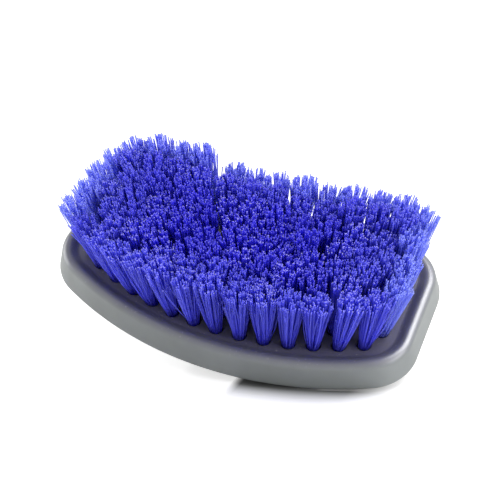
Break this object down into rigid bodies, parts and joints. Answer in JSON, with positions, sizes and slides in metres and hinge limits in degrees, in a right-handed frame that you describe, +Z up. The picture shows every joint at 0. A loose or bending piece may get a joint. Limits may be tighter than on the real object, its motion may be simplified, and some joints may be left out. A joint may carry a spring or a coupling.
{
  "type": "tire brush",
  "caption": "Palm-held scrubbing brush for tires: a bow-fronted plastic block with a palm dome under it and stiff splayed bristle tufts, lying bristles up.",
  "frame": {"origin": "middle of the bottom of the part's box, in the plane of the table that the brush lies on", "axes": "+X along the brush's length towards its low end, -Y towards the bowed front edge, +Z up, with the brush lying as in the picture"},
  "size_m": [0.158, 0.0884, 0.0808],
  "materials": {
    "block_plastic": "satin moulded grey plastic",
    "bristle_plastic": "translucent blue filament with paler tips"
  },
  "bodies": {
    "root": {"block": "block_plastic", "bristle_edge_back": "bristle_plastic", "bristle_edge_front": "bristle_plastic", "bristle_edge_left": "bristle_plastic", "bristle_edge_right": "bristle_plastic", "bristle_row_1": "bristle_plastic", "bristle_row_2": "bristle_plastic", "bristle_row_3": "bristle_plastic", "bristle_row_4": "bristle_plastic", "bristle_row_5": "bristle_plastic", "bristle_row_6": "bristle_plastic"}
  },
  "joints": []
}
